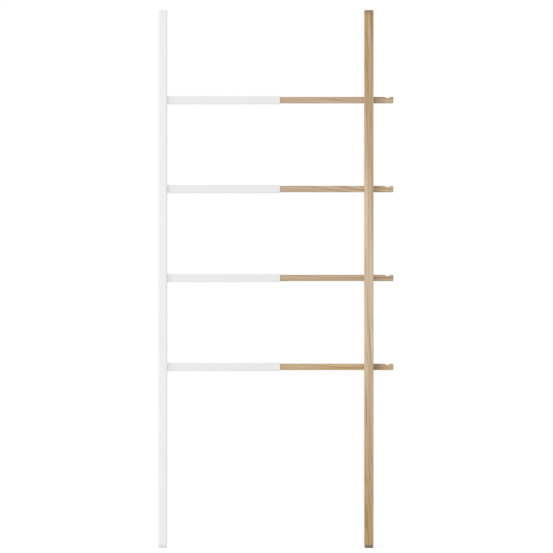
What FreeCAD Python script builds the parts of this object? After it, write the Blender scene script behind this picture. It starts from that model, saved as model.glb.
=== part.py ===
"""A leaning towel ladder whose width adjusts: wooden bars slide in square sleeves.

The left frame is a white stile with one white steel sleeve per rung. The right frame is a natural
wood stile with one wooden bar per rung. Each bar goes through the right stile and ends in a hook.
Millimetres. +X runs from the sleeves to the hooks, +Y to the wall behind and +Z up. The origin is
on the floor at the middle of the ladder's full width. The ladder is drawn at its full width.
"""
import FreeCAD
import Part
import os
from FreeCAD import Vector

X_AXIS = Vector(1, 0, 0)
Y_AXIS = Vector(0, 1, 0)
Z_AXIS = Vector(0, 0, 1)

# Ladder heights
RUNG_COUNT = 4
LOWEST_RUNG_HEIGHT = 620.0
RUNG_PITCH = 305.0
TOP_RUNG_TO_STILE_TOP = 308.0

# Stiles
STILE_WIDTH = 32.0
STILE_EDGE_RADIUS = 5.0
STILE_TOP_RADIUS = 3.5
STILE_FOOT_RADIUS = 1.0

# Bars, with the hook notch near the tip
BAR_SIDE = 22.0
BAR_EDGE_RADIUS = 3.0
BAR_TIP_RADIUS = 2.5
BAR_ENGAGEMENT = 140.0
TAIL_LENGTH = 68.0
NOTCH_WIDTH = 20.0
NOTCH_DEPTH = 4.0
NOTCH_LIP_RADIUS = 1.0
NOSE_LENGTH = 10.0

# Telescoping slide
TRAVEL = 203.0
BAR_SHOWING_CLOSED = 85.0
SLIDE_CLEARANCE = 0.3
STOP_CLEARANCE = 0.4

# Sleeves and the pieces inside them
SLEEVE_WALL = 1.5
SLEEVE_EDGE_RADIUS = 4.0
SLEEVE_SETBACK = 9.0
BUSH_WALL = 1.2
BUSH_LENGTH = 30.0
BUSH_LIP = 1.5
BUSH_LIP_RADIUS = 0.7
ROOT_BLOCK_LENGTH = 40.0
GLIDE_GRIP = 20.0
GLIDE_END_WALL = 4.0
CORNER_RELIEF = 0.5

# Bolted joint between a sleeve and the left stile
BOLT_DIAMETER = 5.0
BOLT_HEAD_OVERHANG = 2.0
BOLT_HEAD_HEIGHT = 4.0
BOLT_SOCKET_ACROSS_FLATS = 3.0
BOLT_SOCKET_DEPTH = 2.2
BOLT_REACH = 15.0
BOLT_HOLE_CLEARANCE = 0.3
INSERT_WALL = 1.25
INSERT_LENGTH = 13.0
CAP_THICKNESS = 3.0
CAP_CHAMFER = 0.4
CAP_TO_BOLT_HEAD = 2.0
DOWEL_DIAMETER = 5.0
DOWEL_LENGTH = 24.0
DRILL_CLEARANCE = 0.1

# Screws and pins of the right frame
RUNG_SCREW_DIAMETER = 4.0
RUNG_SCREW_HEAD_OVERHANG = 2.0
RUNG_SCREW_DEPTH_IN_BAR = 13.0
RUNG_SCREW_SOCKET_ACROSS_FLATS = 2.5
GLIDE_SCREW_DIAMETER = 3.5
GLIDE_SCREW_HEAD_OVERHANG = 1.75
GLIDE_SCREW_DEPTH_IN_BAR = 16.0
GLIDE_SCREW_SOCKET_ACROSS_FLATS = 2.0
STOP_PIN_DIAMETER = 4.0

# Rubber feet and wall pads
FOOT_PAD_THICKNESS = 8.0
FOOT_PAD_MARGIN = 0.5
FOOT_PAD_CORNER_RADIUS = 3.5
FOOT_PAD_EDGE_RADIUS = 1.5
FOOT_STEM_DIAMETER = 8.0
FOOT_STEM_LENGTH = 14.0
WALL_PAD_DIAMETER = 16.0
WALL_PAD_THICKNESS = 2.5
WALL_PAD_EDGE_RADIUS = 0.8
WALL_PAD_BELOW_TOP = 30.0

# Sections: each fits round the one before
BUSH_BORE_SIDE = BAR_SIDE + 2 * SLIDE_CLEARANCE
SLEEVE_BORE_SIDE = BUSH_BORE_SIDE + 2 * BUSH_WALL
SLEEVE_SIDE = SLEEVE_BORE_SIDE + 2 * SLEEVE_WALL
SLEEVE_BORE_RADIUS = SLEEVE_EDGE_RADIUS - SLEEVE_WALL
GLIDE_SIDE = SLEEVE_BORE_SIDE - 2 * SLIDE_CLEARANCE
STILE_DEPTH = SLEEVE_SIDE + 2 * SLEEVE_SETBACK
STILE_BACK = STILE_DEPTH / 2

# A rounded end stays inside the rounding of the long edges
END_TO_EDGE_LIMIT = 0.9
STILE_TOP_ROUNDING = min(STILE_TOP_RADIUS, END_TO_EDGE_LIMIT * STILE_EDGE_RADIUS)
STILE_FOOT_ROUNDING = min(STILE_FOOT_RADIUS, END_TO_EDGE_LIMIT * STILE_EDGE_RADIUS)
FOOT_PAD_ROUNDING = min(FOOT_PAD_EDGE_RADIUS, END_TO_EDGE_LIMIT * FOOT_PAD_CORNER_RADIUS)
BAR_TIP_ROUNDING = min(BAR_TIP_RADIUS, END_TO_EDGE_LIMIT * BAR_EDGE_RADIUS)
FOOT_PAD_INSET = STILE_FOOT_ROUNDING + FOOT_PAD_MARGIN

# Heights
RUNG_HEIGHTS = [LOWEST_RUNG_HEIGHT + level * RUNG_PITCH for level in range(RUNG_COUNT)]
STILE_BOTTOM = FOOT_PAD_THICKNESS
STILE_TOP = RUNG_HEIGHTS[-1] + TOP_RUNG_TO_STILE_TOP

# Places along X, from the left stile's outer face to the hooks' tips
SLEEVE_REACH = ROOT_BLOCK_LENGTH + STOP_CLEARANCE + TRAVEL + GLIDE_END_WALL + BAR_ENGAGEMENT
BAR_SHOWING_OPEN = TRAVEL + BAR_SHOWING_CLOSED
OVERALL_WIDTH = STILE_WIDTH + SLEEVE_REACH + BAR_SHOWING_OPEN + STILE_WIDTH + TAIL_LENGTH
LEFT_OUTER = -OVERALL_WIDTH / 2
SLEEVE_ROOT = LEFT_OUTER + STILE_WIDTH
SLEEVE_MOUTH = SLEEVE_ROOT + SLEEVE_REACH
TUBE_END = SLEEVE_MOUTH - BUSH_LIP
BUSH_INNER_END = TUBE_END - BUSH_LENGTH
BAR_INNER_END = SLEEVE_MOUTH - BAR_ENGAGEMENT
RIGHT_INNER = SLEEVE_MOUTH + BAR_SHOWING_OPEN
RIGHT_OUTER = RIGHT_INNER + STILE_WIDTH
HOOK_TIP = RIGHT_OUTER + TAIL_LENGTH
STOP_PIN_X = BUSH_INNER_END - STOP_CLEARANCE - STOP_PIN_DIAMETER / 2

# Hook notch: an arc of the stated width and depth
NOTCH_RADIUS = ((NOTCH_WIDTH / 2) ** 2 + NOTCH_DEPTH ** 2) / (2 * NOTCH_DEPTH)
NOTCH_X = HOOK_TIP - NOSE_LENGTH - NOTCH_WIDTH / 2

# Bolted joint: the dowels sit midway between the insert and the block's edge
INSERT_DIAMETER = BOLT_DIAMETER + 2 * (DRILL_CLEARANCE + INSERT_WALL)
DOWEL_OFFSET = (INSERT_DIAMETER + SLEEVE_BORE_SIDE) / 4
BOLT_HEAD_DIAMETER = BOLT_DIAMETER + 2 * BOLT_HEAD_OVERHANG
BOLT_HEAD_DEPTH = CAP_THICKNESS + CAP_TO_BOLT_HEAD
COUNTERBORE_DIAMETER = BOLT_HEAD_DIAMETER + 2 * BOLT_HOLE_CLEARANCE
COUNTERBORE_DEPTH = BOLT_HEAD_DEPTH + BOLT_HEAD_HEIGHT
BOLT_HOLE_DIAMETER = BOLT_DIAMETER + 2 * BOLT_HOLE_CLEARANCE
DOWEL_HOLE_DIAMETER = DOWEL_DIAMETER + 2 * DRILL_CLEARANCE

# Two lengths closer than this are the same
SAME_PLACE = 1e-4


def rounded_box(low, high, axis, radius):
    """A box between two corners whose four edges along one axis are rounded."""
    def runs_along_axis(edge):
        return edge.tangentAt(edge.FirstParameter).cross(axis).Length < SAME_PLACE
    size = high - low
    box = Part.makeBox(size.x, size.y, size.z, low)
    return box.makeFillet(radius, [edge for edge in box.Edges if runs_along_axis(edge)])


def square_bar(start_x, end_x, height, side, radius):
    """A square bar with rounded edges, lying along X with its middle at a rung's height."""
    low = Vector(start_x, -side / 2, height - side / 2)
    high = Vector(end_x, side / 2, height + side / 2)
    return rounded_box(low, high, X_AXIS, radius)


def edges_at(shape, axis, place):
    """The edges that lie in the plane across an axis at the given place."""
    def lies_there(edge):
        points = edge.discretize(3)
        return all(abs(point.dot(axis) - place) < SAME_PLACE for point in points)
    return [edge for edge in shape.Edges if lies_there(edge)]


def rod(start, direction, diameter, length):
    """A round rod from a start point along a direction."""
    return Part.makeCylinder(diameter / 2, length, start, direction)


def hexagon_pocket(start, direction, across_flats, depth):
    """A six-sided rod, for cutting a key socket into a head."""
    corner_radius = across_flats / 3 ** 0.5
    turn = FreeCAD.Rotation(Z_AXIS, direction)
    corners = []
    for corner in range(6):
        spoke = FreeCAD.Rotation(Z_AXIS, 60 * corner).multVec(X_AXIS) * corner_radius
        corners.append(start + turn.multVec(spoke))
    outline = Part.makePolygon(corners + corners[:1])
    return Part.Face(outline).extrude(direction * depth)


def countersunk_blank(head_centre, inward, diameter, head_overhang, length):
    """A flat head that narrows at 45 degrees into a round shank."""
    radius = diameter / 2
    head = Part.makeCone(radius + head_overhang, radius, head_overhang, head_centre, inward)
    return head.fuse(rod(head_centre, inward, diameter, length)).removeSplitter()


def countersunk_screw(head_centre, inward, diameter, head_overhang, length, socket_across_flats):
    """A flat-head screw that goes in along a direction, with a key socket in its head."""
    blank = countersunk_blank(head_centre, inward, diameter, head_overhang, length)
    return blank.cut(hexagon_pocket(head_centre, inward, socket_across_flats, head_overhang))


def countersunk_hole(head_centre, inward, diameter, head_overhang, length):
    """The hole for a countersunk screw, wider than the screw all round."""
    return countersunk_blank(head_centre, inward, diameter + 2 * DRILL_CLEARANCE, head_overhang, length)


def make_stile(inner_x, outer_x):
    """An upright with rounded edges and ends, drilled from below for its foot's stem."""
    low = Vector(min(inner_x, outer_x), -STILE_DEPTH / 2, STILE_BOTTOM)
    high = Vector(max(inner_x, outer_x), STILE_DEPTH / 2, STILE_TOP)
    stile = rounded_box(low, high, Z_AXIS, STILE_EDGE_RADIUS)
    stile = stile.makeFillet(STILE_TOP_ROUNDING, edges_at(stile, Z_AXIS, STILE_TOP))
    stile = stile.makeFillet(STILE_FOOT_ROUNDING, edges_at(stile, Z_AXIS, STILE_BOTTOM))
    stem_hole_start = Vector((inner_x + outer_x) / 2, 0, STILE_BOTTOM)
    return stile.cut(rod(stem_hole_start, Z_AXIS, FOOT_STEM_DIAMETER + 2 * DRILL_CLEARANCE, FOOT_STEM_LENGTH))


def dowel_heights(height):
    """The two dowels of a rung sit above and below its bolt."""
    return (height - DOWEL_OFFSET, height + DOWEL_OFFSET)


def make_left_stile():
    """The white upright, drilled from outside for the bolts and from inside for the dowels."""
    stile = make_stile(SLEEVE_ROOT, LEFT_OUTER)
    for height in RUNG_HEIGHTS:
        outside = Vector(LEFT_OUTER, 0, height)
        stile = stile.cut(rod(outside, X_AXIS, COUNTERBORE_DIAMETER, COUNTERBORE_DEPTH))
        stile = stile.cut(rod(outside, X_AXIS, BOLT_HOLE_DIAMETER, STILE_WIDTH))
        for dowel_height in dowel_heights(height):
            inside = Vector(SLEEVE_ROOT, 0, dowel_height)
            stile = stile.cut(rod(inside, -X_AXIS, DOWEL_HOLE_DIAMETER, DOWEL_LENGTH / 2))
    return stile


def make_right_stile():
    """The wooden upright, with a through mortise for each bar and a screw hole behind it."""
    stile = make_stile(RIGHT_INNER, RIGHT_OUTER)
    mortise_radius = BAR_EDGE_RADIUS - CORNER_RELIEF
    for height in RUNG_HEIGHTS:
        stile = stile.cut(square_bar(RIGHT_INNER, RIGHT_OUTER, height, BAR_SIDE, mortise_radius))
        stile = stile.cut(countersunk_hole(*rung_screw_fit(height)))
    return stile


def make_sleeve(height):
    """A square tube with rounded edges, from the left stile to the bush's lip."""
    tube = square_bar(SLEEVE_ROOT, TUBE_END, height, SLEEVE_SIDE, SLEEVE_EDGE_RADIUS)
    return tube.cut(square_bar(SLEEVE_ROOT, TUBE_END, height, SLEEVE_BORE_SIDE, SLEEVE_BORE_RADIUS))


def make_guide_bush(height):
    """A liner in the sleeve's mouth that the bar runs through, with a lip over the tube's end."""
    liner_radius = SLEEVE_BORE_RADIUS + CORNER_RELIEF
    liner = square_bar(BUSH_INNER_END, TUBE_END, height, SLEEVE_BORE_SIDE, liner_radius)
    lip = square_bar(TUBE_END, SLEEVE_MOUTH, height, SLEEVE_SIDE, SLEEVE_EDGE_RADIUS)
    lip = lip.makeFillet(BUSH_LIP_RADIUS, edges_at(lip, X_AXIS, SLEEVE_MOUTH))
    bore_radius = BAR_EDGE_RADIUS + SLIDE_CLEARANCE
    bore = square_bar(BUSH_INNER_END, SLEEVE_MOUTH, height, BUSH_BORE_SIDE, bore_radius)
    return liner.fuse(lip).removeSplitter().cut(bore)


def make_root_block(height):
    """A block in the sleeve's root, drilled for the insert, the bolt's end and the dowels."""
    block_radius = SLEEVE_BORE_RADIUS + CORNER_RELIEF
    block_end = SLEEVE_ROOT + ROOT_BLOCK_LENGTH
    block = square_bar(SLEEVE_ROOT, block_end, height, SLEEVE_BORE_SIDE, block_radius)
    root = Vector(SLEEVE_ROOT, 0, height)
    block = block.cut(rod(root, X_AXIS, INSERT_DIAMETER + 2 * DRILL_CLEARANCE, INSERT_LENGTH))
    block = block.cut(rod(root, X_AXIS, BOLT_HOLE_DIAMETER, BOLT_REACH + BOLT_DIAMETER))
    for dowel_height in dowel_heights(height):
        start = Vector(SLEEVE_ROOT, 0, dowel_height)
        block = block.cut(rod(start, X_AXIS, DOWEL_HOLE_DIAMETER, DOWEL_LENGTH / 2))
    return block


def make_rung_bar(height):
    """A wooden bar: plain inside the sleeve, scooped near the tip to make a hook."""
    bar = square_bar(BAR_INNER_END, HOOK_TIP, height, BAR_SIDE, BAR_EDGE_RADIUS)
    bar = bar.makeFillet(BAR_TIP_ROUNDING, edges_at(bar, X_AXIS, HOOK_TIP))
    notch_floor = height + BAR_SIDE / 2 - NOTCH_DEPTH
    scoop_start = Vector(NOTCH_X, -BAR_SIDE, notch_floor + NOTCH_RADIUS)
    bar = bar.cut(rod(scoop_start, Y_AXIS, 2 * NOTCH_RADIUS, 2 * BAR_SIDE))
    bar = bar.makeFillet(NOTCH_LIP_RADIUS, notch_rim(bar))
    bar = bar.cut(countersunk_hole(*rung_screw_fit(height)))
    bar = bar.cut(countersunk_hole(*glide_screw_fit(height)))
    return bar.cut(stop_pin_rod(height, STOP_PIN_DIAMETER + 2 * DRILL_CLEARANCE))


def notch_rim(bar):
    """The edges all round the notch: every edge of its one hollow face."""
    def is_notch(face):
        surface = face.Surface
        return isinstance(surface, Part.Cylinder) and abs(surface.Radius - NOTCH_RADIUS) < SAME_PLACE
    return next(face for face in bar.Faces if is_notch(face)).Edges


def make_end_glide(height):
    """A cap on the bar's inner end that runs in the sleeve and is screwed on from its end."""
    glide_start = BAR_INNER_END - GLIDE_END_WALL
    glide_radius = SLEEVE_BORE_RADIUS - SLIDE_CLEARANCE + CORNER_RELIEF
    cap = square_bar(glide_start, BAR_INNER_END + GLIDE_GRIP, height, GLIDE_SIDE, glide_radius)
    pocket_radius = BAR_EDGE_RADIUS - CORNER_RELIEF
    pocket = square_bar(BAR_INNER_END, BAR_INNER_END + GLIDE_GRIP, height, BAR_SIDE, pocket_radius)
    return cap.cut(pocket).cut(countersunk_hole(*glide_screw_fit(height)))


def make_sleeve_bolt(height):
    """A cylinder-head bolt with a key socket, sunk in the left stile."""
    head_face = Vector(LEFT_OUTER + BOLT_HEAD_DEPTH, 0, height)
    shank_length = STILE_WIDTH - BOLT_HEAD_DEPTH + BOLT_REACH
    head = rod(head_face, X_AXIS, BOLT_HEAD_DIAMETER, BOLT_HEAD_HEIGHT)
    bolt = head.fuse(rod(head_face, X_AXIS, BOLT_DIAMETER, shank_length)).removeSplitter()
    return bolt.cut(hexagon_pocket(head_face, X_AXIS, BOLT_SOCKET_ACROSS_FLATS, BOLT_SOCKET_DEPTH))


def make_bolt_cap(height):
    """A plug, flush with the left stile's outer face, that hides the bolt."""
    outside = Vector(LEFT_OUTER, 0, height)
    plug = rod(outside, X_AXIS, COUNTERBORE_DIAMETER - 2 * DRILL_CLEARANCE, CAP_THICKNESS)
    return plug.makeChamfer(CAP_CHAMFER, edges_at(plug, X_AXIS, LEFT_OUTER))


def make_threaded_insert(height):
    """A brass sleeve in the root block that the bolt screws into."""
    root = Vector(SLEEVE_ROOT, 0, height)
    insert = rod(root, X_AXIS, INSERT_DIAMETER, INSERT_LENGTH)
    return insert.cut(rod(root, X_AXIS, BOLT_DIAMETER + 2 * DRILL_CLEARANCE, INSERT_LENGTH))


def make_dowels(height):
    """The two dowels that stop a sleeve turning, half in the stile and half in the block."""
    start_x = SLEEVE_ROOT - DOWEL_LENGTH / 2
    return [rod(Vector(start_x, 0, z), X_AXIS, DOWEL_DIAMETER, DOWEL_LENGTH) for z in dowel_heights(height)]


def stop_pin_rod(height, diameter):
    """A rod through the bar from below, nearly as long as the sleeve's bore is high."""
    start = Vector(STOP_PIN_X, 0, height - GLIDE_SIDE / 2)
    return rod(start, Z_AXIS, diameter, GLIDE_SIDE)


def make_stop_pin(height):
    """The pin that meets the guide bush at full width."""
    return stop_pin_rod(height, STOP_PIN_DIAMETER)


def rung_screw_fit(height):
    """A bar's screw from behind: its head's middle, its way in, diameter, head overhang and length."""
    head_centre = Vector((RIGHT_INNER + RIGHT_OUTER) / 2, STILE_BACK, height)
    length = STILE_BACK - BAR_SIDE / 2 + RUNG_SCREW_DEPTH_IN_BAR
    return head_centre, -Y_AXIS, RUNG_SCREW_DIAMETER, RUNG_SCREW_HEAD_OVERHANG, length


def make_rung_screw(height):
    """The screw that fixes a bar in its mortise, from behind."""
    return countersunk_screw(*rung_screw_fit(height), RUNG_SCREW_SOCKET_ACROSS_FLATS)


def glide_screw_fit(height):
    """A glide's screw into the bar's end, in the same order."""
    head_centre = Vector(BAR_INNER_END - GLIDE_END_WALL, 0, height)
    length = GLIDE_END_WALL + GLIDE_SCREW_DEPTH_IN_BAR
    return head_centre, X_AXIS, GLIDE_SCREW_DIAMETER, GLIDE_SCREW_HEAD_OVERHANG, length


def make_glide_screw(height):
    """The screw that holds the glide on the bar's end grain."""
    return countersunk_screw(*glide_screw_fit(height), GLIDE_SCREW_SOCKET_ACROSS_FLATS)


def make_foot_pad(stile_start_x):
    """A rubber foot under a stile, set in from its edges, with a stem pushed up into the stile."""
    half_depth = STILE_DEPTH / 2 - FOOT_PAD_INSET
    low = Vector(stile_start_x + FOOT_PAD_INSET, -half_depth, 0)
    high = Vector(stile_start_x + STILE_WIDTH - FOOT_PAD_INSET, half_depth, FOOT_PAD_THICKNESS)
    pad = rounded_box(low, high, Z_AXIS, FOOT_PAD_CORNER_RADIUS)
    pad = pad.makeFillet(FOOT_PAD_ROUNDING, edges_at(pad, Z_AXIS, 0))
    stem_start = Vector(stile_start_x + STILE_WIDTH / 2, 0, FOOT_PAD_THICKNESS)
    stem = rod(stem_start, Z_AXIS, FOOT_STEM_DIAMETER, FOOT_STEM_LENGTH)
    return pad.fuse(stem).removeSplitter()


def make_wall_pad(stile_start_x):
    """A round rubber pad on the back of a stile, near its top."""
    centre = Vector(stile_start_x + STILE_WIDTH / 2, STILE_BACK, STILE_TOP - WALL_PAD_BELOW_TOP)
    pad = rod(centre, Y_AXIS, WALL_PAD_DIAMETER, WALL_PAD_THICKNESS)
    return pad.makeFillet(WALL_PAD_EDGE_RADIUS, edges_at(pad, Y_AXIS, STILE_BACK + WALL_PAD_THICKNESS))


def make_all():
    """Every node by name. Fasteners that are alike share one node."""
    nodes = {
        "left_stile": make_left_stile(),
        "right_stile": make_right_stile(),
        "left_foot_pad": make_foot_pad(LEFT_OUTER),
        "right_foot_pad": make_foot_pad(RIGHT_INNER),
        "left_wall_pad": make_wall_pad(LEFT_OUTER),
        "right_wall_pad": make_wall_pad(RIGHT_INNER),
    }
    one_per_rung = {
        "sleeve": make_sleeve,
        "guide_bush": make_guide_bush,
        "root_block": make_root_block,
        "rung_bar": make_rung_bar,
        "end_glide": make_end_glide,
    }
    for name, make in one_per_rung.items():
        for level, height in enumerate(RUNG_HEIGHTS, start=1):
            nodes[f"{name}_{level}"] = make(height)
    shared_fasteners = {
        "sleeve_bolts": make_sleeve_bolt,
        "bolt_caps": make_bolt_cap,
        "threaded_inserts": make_threaded_insert,
        "stop_pins": make_stop_pin,
        "glide_screws": make_glide_screw,
        "rung_screws": make_rung_screw,
    }
    for name, make in shared_fasteners.items():
        nodes[name] = Part.makeCompound([make(height) for height in RUNG_HEIGHTS])
    dowels = [dowel for height in RUNG_HEIGHTS for dowel in make_dowels(height)]
    nodes["locating_dowels"] = Part.makeCompound(dowels)
    return nodes


os.makedirs("parts", exist_ok=True)
for node_name, node_shape in make_all().items():
    node_shape.exportStep(f"parts/{node_name}.step")
    print(node_name, len(node_shape.Solids), "solids", round(node_shape.Volume), "mm3", node_shape.isValid())
print("full width", OVERALL_WIDTH, "height", STILE_TOP, "sleeve", SLEEVE_REACH, "stile depth", STILE_DEPTH)
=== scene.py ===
# %% [markdown]
# A towel ladder that slides wider
#
# The ladder leans on a bathroom wall, and towels hang over its four rungs. Its left side is white: a
# lacquered stile with a square steel sleeve for each rung. Its right side is pale ash: a stile with four
# bars, which slide in the sleeves and come out beyond the stile as hooks.
#
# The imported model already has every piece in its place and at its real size. This lesson gives each
# surface its finish, models the small moulded pieces that a plain solid can't show well, and lights the
# ladder as a catalogue picture on white. The model is loaded first, because all places below are read
# from it.

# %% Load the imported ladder
import math
from collections import namedtuple
import bmesh
import bpy
from mathutils import Matrix, Vector


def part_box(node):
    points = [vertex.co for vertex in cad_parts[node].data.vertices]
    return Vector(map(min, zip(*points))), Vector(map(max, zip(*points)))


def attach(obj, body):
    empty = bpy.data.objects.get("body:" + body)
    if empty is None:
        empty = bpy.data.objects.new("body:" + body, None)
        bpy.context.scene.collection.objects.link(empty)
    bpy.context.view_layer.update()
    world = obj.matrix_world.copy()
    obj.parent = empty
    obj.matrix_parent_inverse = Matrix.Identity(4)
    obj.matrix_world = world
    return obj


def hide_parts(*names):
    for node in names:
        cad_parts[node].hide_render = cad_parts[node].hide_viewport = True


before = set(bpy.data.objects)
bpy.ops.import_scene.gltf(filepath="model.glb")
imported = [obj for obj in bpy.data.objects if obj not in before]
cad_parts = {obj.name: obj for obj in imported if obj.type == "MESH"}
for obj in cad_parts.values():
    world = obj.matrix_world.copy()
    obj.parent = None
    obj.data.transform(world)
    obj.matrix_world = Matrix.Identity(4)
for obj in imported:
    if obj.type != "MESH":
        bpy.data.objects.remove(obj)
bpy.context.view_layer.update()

MM = 0.001
RUNGS = (1, 2, 3, 4)

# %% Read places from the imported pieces


def middle(node):
    """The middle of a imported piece's box."""
    low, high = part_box(node)
    return (low + high) / 2


def half_size(node):
    """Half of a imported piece's width, depth and height."""
    low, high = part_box(node)
    return (high - low) / 2


rung_heights = [middle(f"sleeve_{rung}").z for rung in RUNGS]
print("rungs, from the lowest, at", [round(height, 3) for height in rung_heights], "m")

# %% [markdown]
# Wires that can be added and multiplied
#
# Every finish below is a small calculation: a growth ring is a distance divided by a width, a pore is a
# noise above a limit. Such sums could be placed as nodes by hand, one by one, but then nobody can read
# them. So one class holds a node's output socket, and Python's own operators add the Math nodes. Its
# method for any other node sets the node's settings first and then fills its sockets.

# %% A wire from one node to the next
NOISE_MIDDLE = 0.5


class Wire:
    """An output socket of a node tree. Sums, differences, products and ratios add Math nodes."""

    def __init__(self, tree, socket=None):
        self.tree = tree
        self.socket = socket

    def node(self, kind, settings=None, sockets=None, output=0):
        """Add a node: first its settings, then the values or links of its sockets, which are given by
        name, identifier or place. Gives one of its outputs, if it has any."""
        node = self.tree.nodes.new(kind)
        for name, value in (settings or {}).items():
            setattr(node, name, value)
        inputs = {socket.identifier: socket for socket in node.inputs}
        for name, value in (sockets or {}).items():
            socket = inputs.get(name) or node.inputs[name]
            if isinstance(value, Wire):
                self.tree.links.new(value.socket, socket)
            else:
                socket.default_value = value
        if not node.outputs:
            return None
        outputs = {socket.identifier: socket for socket in node.outputs}
        return Wire(self.tree, outputs.get(output) or node.outputs[output])

    def maths(self, operation, first, second=0.0):
        """A Math node on one or two values."""
        return self.node("ShaderNodeMath", {"operation": operation}, {0: first, 1: second})

    def __add__(self, other):
        return self.maths("ADD", self, other)

    def __radd__(self, other):
        return self.maths("ADD", other, self)

    def __sub__(self, other):
        return self.maths("SUBTRACT", self, other)

    def __rsub__(self, other):
        return self.maths("SUBTRACT", other, self)

    def __mul__(self, other):
        return self.maths("MULTIPLY", self, other)

    def __rmul__(self, other):
        return self.maths("MULTIPLY", other, self)

    def __truediv__(self, other):
        return self.maths("DIVIDE", self, other)

    def __rtruediv__(self, other):
        return self.maths("DIVIDE", other, self)

    def __abs__(self):
        return self.maths("ABSOLUTE", self)

    def step(self, low, high):
        """A smooth rise from 0 at low to 1 at high."""
        limits = {"Value": self, "From Min": low, "From Max": high}
        return self.node("ShaderNodeMapRange", {"interpolation_type": "SMOOTHSTEP"}, limits)

    def swing(self, strength):
        """A noise from 0 to 1 as a swing about zero."""
        return (self - NOISE_MIDDLE) * strength

    def vector(self, operation, *vectors, output=0):
        """A Vector Math node on up to three vectors."""
        sockets = dict(enumerate(vectors))
        return self.node("ShaderNodeVectorMath", {"operation": operation}, sockets, output)

    def stretched(self, sizes, shift=(0.0, 0.0, 0.0)):
        """A place counted in cells of the given sizes, for a pattern that is longer one way."""
        return self.vector("MULTIPLY_ADD", self, [1 / size for size in sizes], shift)

    def part(self, axis):
        """One number of a vector."""
        return self.node("ShaderNodeSeparateXYZ", None, {"Vector": self}, axis)

    def noise(self, detail, output="Fac"):
        """Smooth noise from 0 to 1 with cells of one unit."""
        sockets = {"Vector": self, "Scale": 1.0, "Detail": detail}
        return self.node("ShaderNodeTexNoise", None, sockets, output)

    def choose(self, low_colour, high_colour):
        """The first colour where this wire is 0 and the second where it is 1."""
        ends = {"Factor_Float": self, "A_Color": low_colour, "B_Color": high_colour}
        return self.node("ShaderNodeMix", {"data_type": "RGBA"}, ends, "Result_Color")


print("wires ready")

# %% Open and close a finish


def start_finish(name):
    """A new material with no nodes yet, and a wire to add them with."""
    finish = bpy.data.materials.new(name)
    finish.use_nodes = True
    finish.node_tree.nodes.clear()
    return finish, Wire(finish.node_tree)


def end_finish(wire, sockets):
    """Close a material with its one surface shader."""
    surface = wire.node("ShaderNodeBsdfPrincipled", None, sockets)
    wire.node("ShaderNodeOutputMaterial", None, {"Surface": surface})


def bump(wire, height, depth):
    """A surface relief as deep as stated, from a height between 0 and 1."""
    return wire.node("ShaderNodeBump", None, {"Strength": 1.0, "Distance": depth, "Height": height})


def linear(value):
    """One channel of a picture program's colour, from 0 to 255, as light: the sRGB curve."""
    share = value / 255
    return share / 12.92 if share <= 0.04045 else ((share + 0.055) / 1.055) ** 2.4


def colour(red, green, blue):
    """A colour as a picture program writes it, for a shader's socket."""
    return (linear(red), linear(green), linear(blue), 1.0)


print("mid grey is", round(linear(128), 3), "as light")

# %% [markdown]
# Ash
#
# The right stile and the bars are ash with a clear matte oil. A flat board photograph could be wrapped
# round them, but it would show seams at the edges and false rings on the ends. Real timber is a solid,
# so this pattern is one too: rings about a pith line that lies outside the piece and slowly leaves it,
# which gives slanting lines and long points on the faces and arcs on the ends. Each ring starts with a
# porous band, broader after a wet spring, where the pores are dark dashes along the grain. Broad streaks
# and narrower bands carry most of what can be seen from a few metres away.

# %% Rings about a wandering pith, in millimetres
RING_WIDTH = 3.4
PITH_WANDER = 13.0
WANDER_CELLS = (90.0, 90.0, 560.0)
UNEVEN_CELLS = (22.0, 22.0, 900.0)
# The rings shift by up to this many of their widths.
RING_SHIFT = 2.6
# The turn about Y that lays the grain along Z.
TURNS = {"Z": 0.0, "X": -math.pi / 2}


def stick_place(wire, node, along):
    """A place in a stick, from its middle, turned so that Z runs along the grain."""
    turn = Matrix.Rotation(TURNS[along], 3, "Y")
    shift = [-value / MM for value in turn @ middle(node)]
    place = wire.node("ShaderNodeTexCoord", None, None, "Object")
    return wire.node("ShaderNodeMapping", None, {
        "Vector": place, "Location": shift, "Rotation": (0.0, TURNS[along], 0.0), "Scale": [1 / MM] * 3,
    })


def ring_count(wire, place, pith, run_out, seed):
    """How many rings lie between the pith and a place. The pith wanders and leaves the stick slowly."""
    drift = place.stretched(WANDER_CELLS, (seed, 0.0, 0.0)).noise(1.0, "Color")
    reach = (2 * PITH_WANDER, 2 * PITH_WANDER, 0.0)
    start = (-PITH_WANDER - pith[0], -PITH_WANDER - pith[1], 0.0)
    drift = wire.vector("MULTIPLY_ADD", drift, reach, start)
    across = wire.vector("MULTIPLY_ADD", place, (1.0, 1.0, 0.0), drift)
    leaving = wire.node("ShaderNodeVectorMath", {"operation": "SCALE"},
                        {0: (run_out[0], run_out[1], 0.0), "Scale": place.part("Z")})
    across = wire.vector("ADD", across, leaving)
    radius = wire.vector("LENGTH", across, output="Value")
    uneven = place.stretched(UNEVEN_CELLS, (0.0, seed, 0.0)).noise(1.0)
    return radius / RING_WIDTH + uneven * RING_SHIFT


print("rings are about", RING_WIDTH, "mm wide")

# %% The figure of the timber

# Where in a ring its porous band is fullest and ends, and how strong it is, after a dry or a wet spring.
POROUS_FULLEST = 0.12
DRY_YEAR_END = 0.25
WET_YEAR_LATER = 0.5
DRY_YEAR_STRENGTH = 0.45
WET_YEAR_STRONGER = 0.55
# Pores are where a noise is above these limits, some of them everywhere and most in the porous bands.
PORE_LIMITS = (0.58, 0.68)
PORES_EVERYWHERE = 0.2
PORES_IN_BANDS = 0.8
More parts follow.
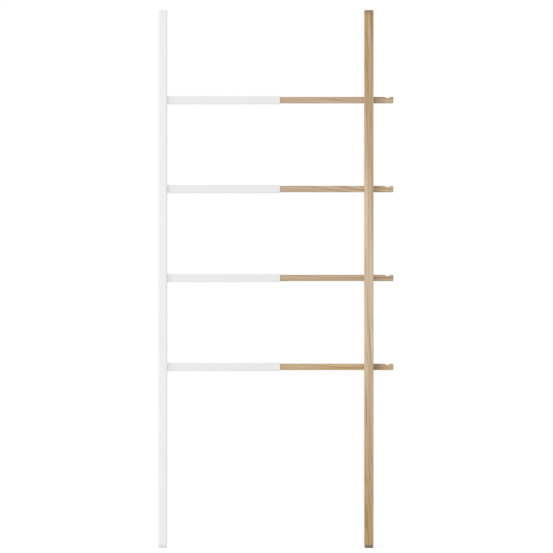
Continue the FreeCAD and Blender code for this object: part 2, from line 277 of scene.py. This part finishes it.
# Cells of each noise across the grain and along it, in millimetres.
PORE_CELLS = (0.55, 0.55, 8.0)
STREAK_CELLS = (10.0, 13.0, 480.0)
BAND_CELLS = (4.0, 5.0, 210.0)
FIBRE_CELLS = (0.9, 0.9, 55.0)


def timber(wire, node, along, pith, run_out, seed):
    """The pattern of one stick, whose grain runs along its length."""
    place = stick_place(wire, node, along)
    rings = ring_count(wire, place, pith, run_out, seed)
    year = wire.maths("FLOOR", rings)
    phase = rings - year
    wet = wire.node("ShaderNodeTexWhiteNoise", {"noise_dimensions": "1D"}, {"W": year + seed}, "Value")
    fading = phase.step(POROUS_FULLEST, DRY_YEAR_END + wet * WET_YEAR_LATER)
    strength = DRY_YEAR_STRENGTH + wet * WET_YEAR_STRONGER
    early = (1.0 - fading) * phase.step(0.0, POROUS_FULLEST) * strength
    dashes = place.stretched(PORE_CELLS, (0.0, 0.0, seed)).noise(1.0)
    return {
        "place": place,
        "length": place.part("Z"),
        "early": early,
        "pores": dashes.step(*PORE_LIMITS) * (PORES_EVERYWHERE + early * PORES_IN_BANDS),
        "streaks": place.stretched(STREAK_CELLS, (seed, seed, 0.0)).noise(2.0),
        "bands": place.stretched(BAND_CELLS, (0.0, seed, seed)).noise(2.0),
        "fibres": place.stretched(FIBRE_CELLS, (seed, 0.0, seed)).noise(3.0),
    }


print("pores are about", PORE_CELLS[2], "mm long")

# %% Find the ends and the long edges of a stick
END_LIMITS = (0.35, 0.95)
EDGE_LIMITS = (0.55, 1.0)
# The product of both directions at the middle of a rounded edge, which faces half way between them.
EDGE_PRODUCT = math.sin(math.pi / 4) ** 2


def end_grain(wire, along):
    """Where the surface is cut across the grain: 1 on the ends and on their rounded edges."""
    normal = wire.node("ShaderNodeTexCoord", None, None, "Normal")
    return abs(normal.part(along)).step(*END_LIMITS)


def long_edges(wire, along):
    """Where two faces meet along the grain: 1 at the middle of a rounded long edge."""
    normal = wire.node("ShaderNodeTexCoord", None, None, "Normal")
    first, second = [axis for axis in "XYZ" if axis != along]
    return abs(normal.part(first) * normal.part(second) / EDGE_PRODUCT).step(*EDGE_LIMITS)


print("edges are found from the surface's direction")

# %% [markdown]
# Oil, paler edges, darker ends and painted shade
#
# The sticks come from different boards, so they differ in their two tones, a pale and a tan one, or in
# the depth between them. The last centimetres below the stile's top are darker: partly oil sunk into end
# grain, partly painted shade. The long edges are paler: partly rubbed by hands and towels, partly a
# painted highlight. The tails of the bars carry a painted shadow of the stile, darkest beside it, and
# the tips stay pale. All this could be painted by hand. Here it follows from the surface itself: its
# direction tells where an edge is, and the distance along the stick tells where the end is.

# %% A darker stretch near the end of a stick

# It starts, is fullest and has faded at these distances from the stick's far end, in millimetres. A
# distance below zero lies past the end, so such a stretch doesn't fade.
# A darker stretch near a stick's far end. On the blocks it is oil in the end grain, below the stile's top
# it is partly oil and partly painted shade, and on the bars' tails it is a painted shadow of the stile.
DarkerStretch = namedtuple("DarkerStretch", "starts fullest faded strength colour")


def darker_share(length, node, along, darker_stretch):
    """How much of a darker stretch's colour shows at a place along a stick."""
    end = getattr(half_size(node), along.lower()) / MM
    rise = length.step(end - darker_stretch.starts, end - darker_stretch.fullest)
    fall = length.step(end - darker_stretch.fullest, end - darker_stretch.faded)
    return (rise - fall) * darker_stretch.strength


print("a soak has", ", ".join(DarkerStretch._fields))

# %% Oiled ash, one stick at a time
ASH_PORE = colour(112, 84, 58)
ASH_END = colour(128, 100, 73)
ASH_END_RINGS = colour(94, 70, 49)
# The paler colour of the long edges: partly oil rubbed thin, partly a painted highlight on the rounded
# edges.
ASH_RUBBED_AND_HIGHLIGHT = colour(226, 208, 178)
ASH_PALE_MIDDLE = (120.0, 720.0)
ASH_RELIEF = 0.12 * MM
ASH_LEVEL = 0.6
ASH_ROUGHNESS = 0.5
# The mean of the porous bands, and how strongly each part of the pattern shows.
EARLY_SHARE = 0.19
IN_TONE = {"streaks": 1.2, "bands": 0.9, "early": 0.6, "fibres": 0.3}
IN_COLOUR = {"pores": 0.55, "end": 0.9, "end_rings": 0.6}
IN_RELIEF = {"fibres": 0.3, "pores": 0.5, "early": 0.1}
IN_ROUGHNESS = {"pores": 0.2, "fibres": 0.1}


def oiled_ash(name, node, along, tones, pith, run_out, seed, depth, figure, rubbed_and_highlight, darker_stretch, paler_by=0.0):
    """Ash under a clear matte oil. The depth lies between the two tones, the figure is how strong the
    pattern is, one weight sets how much paler the long edges are, partly from wear and partly as a
    painted highlight, and a stick may be paler about its middle. The darker stretch at the far end is a
    painted shadow on the bars' tails and partly painted shade below the stile's top."""
    finish, wire = start_finish(name)
    wood = timber(wire, node, along, pith, run_out, seed)
    pattern = wood["streaks"].swing(IN_TONE["streaks"]) + wood["bands"].swing(IN_TONE["bands"])
    pattern = pattern + (wood["early"] - EARLY_SHARE) * IN_TONE["early"]
    pattern = pattern + wood["fibres"].swing(IN_TONE["fibres"])
    paler = (1.0 - abs(wood["length"]).step(*ASH_PALE_MIDDLE)) * paler_by
    face = (depth + pattern * figure - paler).choose(*tones)
    # The long edges are paler: partly rubbed wear, partly a painted highlight on the rounded edges.
    worn_and_highlight = long_edges(wire, along) * (wood["fibres"] + NOISE_MIDDLE) * rubbed_and_highlight
    face = worn_and_highlight.choose(face, ASH_RUBBED_AND_HIGHLIGHT)
    face = (wood["pores"] * IN_COLOUR["pores"]).choose(face, ASH_PORE)
    # The darker stretch at the far end: painted shadow on the bars' tails, oil and painted shade below
    # the stile's top, oil on the blocks.
    face = darker_share(wood["length"], node, along, darker_stretch).choose(face, darker_stretch.colour)
    cut_rings = wire.maths("MAXIMUM", wood["early"] * IN_COLOUR["end_rings"], wood["pores"])
    cut = cut_rings.choose(ASH_END, ASH_END_RINGS)
    face = (end_grain(wire, along) * IN_COLOUR["end"]).choose(face, cut)
    relief = ASH_LEVEL + wood["fibres"].swing(IN_RELIEF["fibres"])
    relief = relief - wood["pores"] * IN_RELIEF["pores"] - wood["early"] * IN_RELIEF["early"]
    rough = ASH_ROUGHNESS + wood["pores"] * IN_ROUGHNESS["pores"]
    rough = rough + wood["fibres"] * IN_ROUGHNESS["fibres"]
    end_finish(wire, {
        "Base Color": face,
        "Roughness": rough,
        "Normal": bump(wire, relief, ASH_RELIEF),
    })
    return finish


print("ash has a relief of", round(ASH_RELIEF / MM, 2), "mm")

# %% Ash for the stile
HONEY_TONES = (colour(220, 200, 172), colour(171, 133, 83))
# The last 24 mm below the stile's top are darker: partly oil in the end grain, partly painted shade, as
# the top end gets less light from above.
TOP_OIL_AND_SHADE = DarkerStretch(starts=24.0, fullest=0.0, faded=-24.0, strength=0.5, colour=ASH_END)

ash_stile = oiled_ash("ash_stile", "right_stile", "Z", HONEY_TONES, pith=(-32.0, 60.0),
                      run_out=(0.0, -0.012), seed=30.5, depth=0.83, figure=1.05, rubbed_and_highlight=0.4,
                      darker_stretch=TOP_OIL_AND_SHADE, paler_by=0.52)
print("made", ash_stile.name)

# %% Ash for the bars, each from its own board
GOLDEN_TONES = (colour(220, 197, 158), colour(169, 131, 78))
TAN_TONES = (colour(216, 195, 168), colour(163, 130, 90))
BAR_TONES = {1: GOLDEN_TONES, 2: TAN_TONES, 3: TAN_TONES, 4: TAN_TONES}
BAR_DEPTHS = {1: 0.43, 2: 0.48, 3: 0.4, 4: 0.52}
BAR_PITH = (-50.0, 44.0)
BAR_PITH_STEP = (9.0, 5.0)
BAR_RUN_OUT = (0.0, 0.02)
BAR_SEED = 29.2
BAR_SEED_STEP = 5.9
# A painted shadow of the stile on each bar's tail: darkest just beside the stile, faded before the tip,
# and stronger on some rungs than on others.
TAIL_PAINTED_SHADOW = colour(126, 106, 88)
TAIL_SHADOW_STRENGTH = {1: 0.74, 2: 0.2, 3: 0.34, 4: 0.46}

ash_bars = {}
for rung in RUNGS:
    pith = [start + step * rung for start, step in zip(BAR_PITH, BAR_PITH_STEP)]
    tail_shadow = DarkerStretch(starts=100.0, fullest=62.0, faded=14.0, strength=TAIL_SHADOW_STRENGTH[rung],
                   colour=TAIL_PAINTED_SHADOW)
    seed = BAR_SEED + BAR_SEED_STEP * rung
    ash_bars[rung] = oiled_ash(f"ash_bar_{rung}", f"rung_bar_{rung}", "X", BAR_TONES[rung], pith,
                               BAR_RUN_OUT, seed, depth=BAR_DEPTHS[rung], figure=0.75, rubbed_and_highlight=0.2,
                               darker_stretch=tail_shadow)
print("made ash for", len(ash_bars), "bars")

# %% Ash for the blocks in the sleeves
BLOCK_SEED = 40.0
BLOCK_END = DarkerStretch(starts=4.0, fullest=0.0, faded=-4.0, strength=0.3, colour=ASH_END)

block_wood = {}
for rung in RUNGS:
    block_wood[rung] = oiled_ash(f"block_{rung}", f"root_block_{rung}", "X", TAN_TONES, pith=(30.0, 40.0),
                                 run_out=BAR_RUN_OUT, seed=BLOCK_SEED + rung, depth=0.3, figure=1.0,
                                 rubbed_and_highlight=0.0, darker_stretch=BLOCK_END)
print("made wood for", len(block_wood), "blocks")

# %% [markdown]
# White lacquer
#
# The left stile is the same timber under sprayed white lacquer. The lacquer hides the colour of the wood
# but not all of its pores, which show as faint lines when light grazes the face. A plain white would be
# quicker to make, but it would look like plastic. So the timber's pattern is used again, as a very
# shallow relief and a barely darker white, with the slight unevenness that spraying leaves in the gloss.

# %% Lacquer over ash
LACQUER = colour(243, 243, 243)
LACQUER_SHADOW = colour(235, 235, 235)
LACQUER_RELIEF = 0.05 * MM
LACQUER_LEVEL = 0.6
LACQUER_ROUGHNESS = 0.36
SPRAY_CELLS = (2.2, 2.2, 3.0)
CLOUD_CELLS = (30.0, 30.0, 140.0)
# How strongly each part of the pattern shows in the darker white, the relief and the roughness.
SHADOW_SHARE = 0.25
IN_SHADOW = {"pores": 0.35, "clouds": 0.8, "streaks": 0.5}
IN_LACQUER_RELIEF = {"spray": 0.2, "pores": 0.3, "early": 0.1}
CLOUDS_IN_ROUGHNESS = 0.12

white_lacquer, wire = start_finish("white_lacquer")
wood = timber(wire, "left_stile", "Z", pith=(-11.0, 70.0), run_out=(-0.003, 0.014), seed=8.1)
spray = wood["place"].stretched(SPRAY_CELLS).noise(2.0)
clouds = wood["place"].stretched(CLOUD_CELLS).noise(2.0)
shadow = wood["pores"] * IN_SHADOW["pores"] + clouds.swing(IN_SHADOW["clouds"])
shadow = shadow + wood["streaks"].swing(IN_SHADOW["streaks"]) + SHADOW_SHARE
relief = LACQUER_LEVEL + spray * IN_LACQUER_RELIEF["spray"]
relief = relief - wood["pores"] * IN_LACQUER_RELIEF["pores"] - wood["early"] * IN_LACQUER_RELIEF["early"]
end_finish(wire, {
    "Base Color": shadow.choose(LACQUER, LACQUER_SHADOW),
    "Roughness": LACQUER_ROUGHNESS + clouds * CLOUDS_IN_ROUGHNESS,
    "Normal": bump(wire, relief, LACQUER_RELIEF),
})
print("made", white_lacquer.name)

# %% [markdown]
# Powder coat, nylon, plastic, rubber and metal
#
# The sleeves are steel tube with a baked white powder coat, which has a fine orange-peel surface: noise
# of about a millimetre as relief. The bushes and glides are moulded nylon, a little warmer and duller.
# The screws, bolts and pins are zinc plated, with fine turning lines, and the inserts are brass. Each
# could have a recipe of its own, but all are two close colours in a fine grain, so they share one. The
# built ladder shows only the sleeves, the bushes' lips, the caps, the feet, the wall bumpers and the
# screws at the back, but a piece inside a sleeve gets its finish too, because the ladder comes apart.

# %% Small finishes that share one recipe, with grains in millimetres
ORANGE_PEEL = (0.9, 0.9, 0.9)
MOULDED = (1.4, 1.4, 1.4)
RUBBER_SKIN = (0.6, 0.6, 0.6)
TURNED = (0.25, 0.25, 2.5)
BROAD_CELLS = 24


def speckled(name, low_colour, high_colour, grain, relief, rough, metal=0.0):
    """Two close colours and a fine relief, in a grain and a depth in millimetres. The roughness drifts
    between two values in patches that are much broader than the grain."""
    finish, wire = start_finish(name)
    place = wire.node("ShaderNodeTexCoord", None, None, "Object").stretched([MM, MM, MM])
    fine = place.stretched(grain).noise(3.0)
    broad = place.stretched([size * BROAD_CELLS for size in grain]).noise(2.0)
    both = (fine + broad) / 2
    end_finish(wire, {
        "Base Color": both.choose(colour(*low_colour), colour(*high_colour)),
        "Roughness": rough[0] + broad * (rough[1] - rough[0]),
        "Normal": bump(wire, fine, relief * MM),
        "Metallic": metal,
    })
    return finish


powder_coat = speckled("powder_coat", (233, 233, 233), (242, 242, 242), ORANGE_PEEL, 0.03, (0.38, 0.5))
nylon = speckled("nylon", (222, 221, 216), (234, 233, 229), MOULDED, 0.02, (0.42, 0.55))
cap_plastic = speckled("cap_plastic", (234, 234, 233), (242, 242, 241), MOULDED, 0.02, (0.4, 0.5))
zinc = speckled("zinc", (150, 152, 156), (196, 198, 200), TURNED, 0.01, (0.28, 0.45), metal=1.0)
brass = speckled("brass", (176, 138, 70), (216, 180, 104), TURNED, 0.01, (0.25, 0.4), metal=1.0)
white_rubber = speckled("white_rubber", (228, 228, 226), (238, 238, 236), RUBBER_SKIN, 0.04, (0.7, 0.85))
brown_rubber = speckled("brown_rubber", (120, 102, 84), (142, 122, 103), RUBBER_SKIN, 0.04, (0.7, 0.85))
RUBBERS = {"left": white_rubber, "right": brown_rubber}
print("small finishes ready")

# %% [markdown]
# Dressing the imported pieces
#
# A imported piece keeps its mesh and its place, and only gets its finish. That could be one long list of
# pairs. Most pieces come once for each rung, so a loop over the rungs is shorter and misses none.

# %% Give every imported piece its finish


def dress(node, finish):
    """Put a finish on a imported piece, whose mesh stays as it is."""
    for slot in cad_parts[node].material_slots:
        slot.material = finish


dress("left_stile", white_lacquer)
dress("right_stile", ash_stile)
for rung in RUNGS:
    dress(f"sleeve_{rung}", powder_coat)
    dress(f"guide_bush_{rung}", nylon)
    dress(f"end_glide_{rung}", nylon)
    dress(f"root_block_{rung}", block_wood[rung])
    dress(f"rung_bar_{rung}", ash_bars[rung])
for node in ("sleeve_bolts", "stop_pins", "glide_screws", "rung_screws"):
    dress(node, zinc)
dress("threaded_inserts", brass)
dress("locating_dowels", block_wood[1])
dress("bolt_caps", cap_plastic)
for side, rubber in RUBBERS.items():
    dress(f"{side}_foot_pad", rubber)
    dress(f"{side}_wall_pad", rubber)
print("dressed", len(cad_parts), "pieces")

# %% [markdown]
# Moulded pieces
#
# The feet, the wall bumpers and the bolt caps are small mouldings. As plain solids they would do, but a
# moulding has grooves, domes and soft edges that catch the light. Each is modelled with a few mesh
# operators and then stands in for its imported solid, in the same place. One helper closes every piece:
# it merges doubles, turns the faces outwards, smooths all but the sharp edges and says what it rides on.

# %% Close a modelled piece
MERGE_DISTANCE = 0.001 * MM
SHARP_ANGLE = math.radians(40.0)
SAME_DIRECTION = 0.99


def add_piece(name, shape, finish, body, replaced):
    """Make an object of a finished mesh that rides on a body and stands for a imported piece."""
    bmesh.ops.remove_doubles(shape, verts=shape.verts, dist=MERGE_DISTANCE)
    bmesh.ops.recalc_face_normals(shape, faces=shape.faces)
    mesh = bpy.data.meshes.new(name)
    shape.to_mesh(mesh)
    shape.free()
    mesh.shade_smooth()
    mesh.set_sharp_from_angle(angle=SHARP_ANGLE)
    mesh.materials.append(finish)
    piece = bpy.data.objects.new(name, mesh)
    bpy.context.scene.collection.objects.link(piece)
    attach(piece, body)
    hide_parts(replaced)
    print(name, "has", len(mesh.polygons), "faces")


def faces_towards(shape, direction):
    """The faces of a mesh that look in one direction."""
    shape.normal_update()
    return [face for face in shape.faces if face.normal.dot(Vector(direction)) > SAME_DIRECTION]


print("edges over", round(math.degrees(SHARP_ANGLE)), "degrees stay sharp")

# %% [markdown]
# Rubber feet
#
# A foot is a soft rubber block as wide as the flat of the stile's end, with a stem that is pushed up
# into a drilled hole. Its sides have a narrow groove under the wood, where the mould closes, and its sole
# has two grooves all round, which hold on wet tiles. A foot could be put together from a box and a
# cylinder, but they would cut into each other. So a box is bevelled into the block, its sole is inset
# step by step, and its top is bridged to the round stem, and the whole foot is one closed skin.

# %% Tools for the feet
FOOT_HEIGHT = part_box("right_stile")[0].z


def bevel(shape, edges, radius, steps):
    """Round some edges of a mesh."""
    bmesh.ops.bevel(shape, geom=edges, offset=radius, segments=steps, profile=0.5, affect="EDGES",
                    material=-1)


def step_in(shape, face, width, rise):
    """Draw a level face in by a width, all round, and move it up or down. Gives the smaller face."""
    face = bmesh.ops.extrude_discrete_faces(shape, faces=[face])["faces"][0]
    centre = face.calc_center_bounds()
    half = [max(abs(vert.co[axis] - centre[axis]) for vert in face.verts) for axis in (0, 1)]
    smaller = ((half[0] - width) / half[0], (half[1] - width) / half[1], 1.0)
    bmesh.ops.scale(shape, vec=smaller, space=Matrix.Translation(-centre), verts=face.verts)
    bmesh.ops.translate(shape, vec=(0, 0, rise), verts=face.verts)
    return face


print("feet stand", round(FOOT_HEIGHT / MM, 1), "mm high under the stiles")

# %% A stem on top of a foot
STEM_RADIUS = 4.0 * MM
STEM_CHAMFER = 0.8 * MM
STEM_CHAMFER_STEPS = 2


def add_stem(shape, centre, stem_top):
    """Open the top of a foot and bridge it to a round stem."""
    top = faces_towards(shape, (0, 0, 1))
    rim = list(top[0].edges)
    bmesh.ops.delete(shape, geom=top, context="FACES_ONLY")
    place = Matrix.Translation((centre.x, centre.y, FOOT_HEIGHT))
    ring = bmesh.ops.create_circle(shape, segments=len(rim), radius=STEM_RADIUS, matrix=place)["verts"]
    ring_edges = [edge for edge in shape.edges if edge.verts[0] in ring and edge.verts[1] in ring]
    bmesh.ops.bridge_loops(shape, edges=rim + ring_edges)
    raised = bmesh.ops.extrude_edge_only(shape, edges=ring_edges)["geom"]
    raised_verts = [item for item in raised if isinstance(item, bmesh.types.BMVert)]
    bmesh.ops.translate(shape, vec=(0, 0, stem_top - FOOT_HEIGHT), verts=raised_verts)
    open_edges = [edge for edge in shape.edges if edge.is_boundary]
    cap = bmesh.ops.contextual_create(shape, geom=open_edges)["faces"]
    bevel(shape, [edge for face in cap for edge in face.edges], STEM_CHAMFER, STEM_CHAMFER_STEPS)


print("stems are", round(2 * STEM_RADIUS / MM, 1), "mm thick")

# %% Model the feet
FOOT_CORNER = 3.5 * MM
FOOT_CORNER_STEPS = 6
SOLE_EDGE = 1.5 * MM
SOLE_EDGE_STEPS = 3
GROOVE_LOW = 5.9 * MM
GROOVE_HIGH = 6.9 * MM
GROOVE_DEPTH = 0.7 * MM
SOLE_GROOVES = 2
SOLE_LAND = 2.4 * MM
SOLE_GROOVE_WIDTH = 1.6 * MM
SOLE_GROOVE_DEPTH = 1.0 * MM
STEEP = 0.35 * MM
UPRIGHT_LIMIT = 1.01 * FOOT_HEIGHT


def make_foot(node):
    """A foot in the place of a packed one."""
    low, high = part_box(node)
    centre = middle(node)
    shape = bmesh.new()
    bmesh.ops.create_cube(shape, size=1.0)
    bmesh.ops.scale(shape, vec=(high.x - low.x, high.y - low.y, FOOT_HEIGHT), verts=shape.verts)
    bmesh.ops.translate(shape, vec=(centre.x, centre.y, FOOT_HEIGHT / 2), verts=shape.verts)
    uprights = [edge for edge in shape.edges if edge.calc_length() < UPRIGHT_LIMIT]
    bevel(shape, uprights, FOOT_CORNER, FOOT_CORNER_STEPS)
    sole_edges = [edge for face in faces_towards(shape, (0, 0, -1)) for edge in face.edges]
    bevel(shape, sole_edges, SOLE_EDGE, SOLE_EDGE_STEPS)
    for height in (GROOVE_LOW, GROOVE_HIGH):
        everything = shape.verts[:] + shape.edges[:] + shape.faces[:]
        bmesh.ops.bisect_plane(shape, geom=everything, plane_co=(0, 0, height), plane_no=(0, 0, 1))
    groove = [face for face in shape.faces if GROOVE_LOW < face.calc_center_median().z < GROOVE_HIGH]
    bmesh.ops.inset_region(shape, faces=groove, thickness=STEEP, depth=-GROOVE_DEPTH,
                           use_even_offset=True)
    sole = faces_towards(shape, (0, 0, -1))[0]
    for _ in range(SOLE_GROOVES):
        sole = step_in(shape, sole, SOLE_LAND, 0.0)
        sole = step_in(shape, sole, STEEP, SOLE_GROOVE_DEPTH)
        sole = step_in(shape, sole, SOLE_GROOVE_WIDTH, 0.0)
        sole = step_in(shape, sole, STEEP, -SOLE_GROOVE_DEPTH)
    add_stem(shape, centre, high.z)
    return shape


for side, rubber in RUBBERS.items():
    foot = make_foot(f"{side}_foot_pad")
    add_piece(f"{side}_foot", foot, rubber, f"{side}_frame", f"{side}_foot_pad")

# %% [markdown]
# Wall bumpers and bolt caps
#
# High on the back of each stile is a round bumper that keeps the wall clean: a low dome with a moulded
# ring. On the outer side of the white stile a slightly dished cap closes the hole of each sleeve bolt.
# Either could start as a cylinder with loops pushed in and out. Both are round, so it is quicker to draw
# half of their section as a few points and spin it once round the axis.

# %% Spin a section about an axis
SPIN_STEPS = 48
QUARTER_ROUND = (0.0, 22.5, 45.0, 67.5, 90.0)


def spun(shape, section, centre, axis, sideways):
    """Spin a section, given as distances from the axis and along it, round an axis through a centre."""
    verts = [shape.verts.new(centre + Vector(sideways) * out + Vector(axis) * up) for out, up in section]
    edges = [shape.edges.new(pair) for pair in zip(verts, verts[1:])]
    bmesh.ops.spin(shape, geom=verts + edges, cent=centre, axis=axis, angle=2 * math.pi,
                   steps=SPIN_STEPS, use_merge=True)


def rounded(out, up, radius):
    """Points of a quarter round about a middle point, from the side of a section to its top."""
    angles = [math.radians(angle) for angle in QUARTER_ROUND]
    return [(out + radius * math.cos(angle), up + radius * math.sin(angle)) for angle in angles]


print("sections are spun in", SPIN_STEPS, "steps")

# %% Model the wall bumpers
BUMPER_EDGE = 0.8 * MM
BUMPER_CROWN = 0.3 * MM
HALFWAY_CROWN = 0.75 * BUMPER_CROWN
BUMPER_RING_INSIDE = 5.2 * MM
BUMPER_RING_OUTSIDE = 5.8 * MM
BUMPER_RING_DEPTH = 0.35 * MM


def make_bumper(node):
    """A domed bumper in the place of a packed wall pad."""
    low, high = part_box(node)
    centre = middle(node)
    radius = half_size(node).x
    height = high.y - low.y
    shoulder = height - BUMPER_CROWN
    ring_middle = (BUMPER_RING_OUTSIDE + BUMPER_RING_INSIDE) / 2
    section = [(0.0, 0.0), (radius, 0.0)]
    section += rounded(radius - BUMPER_EDGE, shoulder - BUMPER_EDGE, BUMPER_EDGE)
    section += [(BUMPER_RING_OUTSIDE, shoulder), (ring_middle, shoulder - BUMPER_RING_DEPTH)]
    section += [(BUMPER_RING_INSIDE, shoulder), (BUMPER_RING_INSIDE / 2, shoulder + HALFWAY_CROWN)]
    section += [(0.0, height)]
    shape = bmesh.new()
    spun(shape, section, Vector((centre.x, low.y, centre.z)), (0, 1, 0), (1, 0, 0))
    return shape


for side, rubber in RUBBERS.items():
    bumper = make_bumper(f"{side}_wall_pad")
    add_piece(f"{side}_bumper", bumper, rubber, f"{side}_frame", f"{side}_wall_pad")

# %% Model the bolt caps
CAP_RIM = 1.1 * MM
CAP_EDGE = 0.4 * MM
CAP_DISH = 0.5 * MM
CAP_SLOPE = 0.7 * CAP_DISH

cap_low, cap_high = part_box("bolt_caps")
cap_radius = half_size("bolt_caps").y
cap_height = cap_high.x - cap_low.x
slope_radius = 0.6 * cap_radius
floor_radius = 0.3 * cap_radius
cap_section = [(0.0, 0.0), (cap_radius, 0.0)]
cap_section += rounded(cap_radius - CAP_EDGE, cap_height - CAP_EDGE, CAP_EDGE)
cap_section += [(cap_radius - CAP_RIM, cap_height), (slope_radius, cap_height - CAP_SLOPE)]
cap_section += [(floor_radius, cap_height - CAP_DISH), (0.0, cap_height - CAP_DISH)]
caps = bmesh.new()
for height in rung_heights:
    spun(caps, cap_section, Vector((cap_high.x, middle("bolt_caps").y, height)), (-1, 0, 0), (0, 1, 0))
add_piece("dished_caps", caps, cap_plastic, "left_frame", "bolt_caps")

# %% [markdown]
# Floor, light and camera
#
# The picture is a catalogue view on white. A curved studio backdrop would do, but it would stand in the
# way of a camera behind the ladder, so there is only a floor, and the sky is white where it is seen. The
# floor glows where it is seen, just enough to end in the same white, but this glow lights nothing, and
# the shadow at the feet stays. Most of the light is even and comes from the sky. One weaker, soft lamp on
# the left, in front, leaves the right-hand edges and the tails beside the wooden stile in shade.

# %% A pale floor
FLOOR_RADIUS = 14.0
FLOOR_SIDES = 96
FLOOR_COLOUR = colour(231, 231, 231)
FLOOR_GLOW = 0.29

floor_shape = bmesh.new()
bmesh.ops.create_circle(floor_shape, cap_ends=True, segments=FLOOR_SIDES, radius=FLOOR_RADIUS)
floor_mesh = bpy.data.meshes.new("floor")
floor_shape.to_mesh(floor_mesh)
floor_shape.free()
floor = bpy.data.objects.new("floor", floor_mesh)
bpy.context.scene.collection.objects.link(floor)


def seen_directly(wire):
    """1 for the rays that show a surface itself: from the camera, or by reflection or through glass."""
    seen = wire.node("ShaderNodeLightPath", None, None, "Is Camera Ray")
    for kind in ("Is Glossy Ray", "Is Transmission Ray"):
        seen = wire.maths("MAXIMUM", seen, wire.node("ShaderNodeLightPath", None, None, kind))
    return seen


pale_floor, wire = start_finish("pale_floor")
matte = wire.node("ShaderNodeBsdfDiffuse", None, {"Color": FLOOR_COLOUR})
glow = wire.node("ShaderNodeEmission", None, {"Strength": seen_directly(wire) * FLOOR_GLOW})
both = wire.node("ShaderNodeAddShader", None, {0: matte, 1: glow})
wire.node("ShaderNodeOutputMaterial", None, {"Surface": both})
floor_mesh.materials.append(pale_floor)
print("floor ready")

# %% A white sky
SKY_LIGHT = 0.905
WHITE = (1.0, 1.0, 1.0, 1.0)

world = bpy.data.worlds.new("white_sky")
bpy.context.scene.world = world
world.use_nodes = True
world.node_tree.nodes.clear()
wire = Wire(world.node_tree)
brightness = SKY_LIGHT + seen_directly(wire) * (1.0 - SKY_LIGHT)
sky = wire.node("ShaderNodeBackground", None, {"Color": WHITE, "Strength": brightness})
wire.node("ShaderNodeOutputWorld", None, {"Surface": sky})
print("sky ready")

# %% A soft lamp on the left
LADDER_MIDDLE = Vector((0.0, 0.0, 0.95))
LAMP_PLACE = Vector((-3.5, -2.0, 1.2))
LAMP_SIZE = 3.2
LAMP_POWER = 44.0

lamp = bpy.data.lights.new("left_window", "AREA")
lamp.shape = "SQUARE"
lamp.size = LAMP_SIZE
lamp.energy = LAMP_POWER
left_window = bpy.data.objects.new("left_window", lamp)
left_window.location = LAMP_PLACE
left_window.rotation_euler = (LADDER_MIDDLE - LAMP_PLACE).to_track_quat("-Z", "Y").to_euler()
left_window.visible_camera = False
bpy.context.scene.collection.objects.link(left_window)
print("lamp", round((LADDER_MIDDLE - LAMP_PLACE).length, 1), "m away")

# %% The camera where the picture was taken from
PICTURE_WIDTH = 553
# One pixel of the picture covers this much of the ladder.
PICTURE_SCALE = 3.426 * MM
SENSOR_WIDTH = 36.0
CAMERA_DISTANCE = 15.0
FARTHEST_SEEN = 100.0
VIEW_CENTRE_X = 3.0 * MM
VIEW_CENTRE_HEIGHT = 930.0 * MM

lens = bpy.data.cameras.new("picture_view")
lens.sensor_width = SENSOR_WIDTH
lens.lens = SENSOR_WIDTH * CAMERA_DISTANCE / (PICTURE_WIDTH * PICTURE_SCALE)
lens.clip_end = FARTHEST_SEEN
camera = bpy.data.objects.new("picture_view", lens)
camera.location = (VIEW_CENTRE_X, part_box("left_stile")[0].y - CAMERA_DISTANCE, VIEW_CENTRE_HEIGHT)
camera.rotation_euler = (math.pi / 2, 0.0, 0.0)
bpy.context.scene.collection.objects.link(camera)
bpy.context.scene.camera = camera
bpy.context.scene.view_settings.view_transform = "Standard"
print("lens", round(lens.lens, 1), "mm at", CAMERA_DISTANCE, "m")
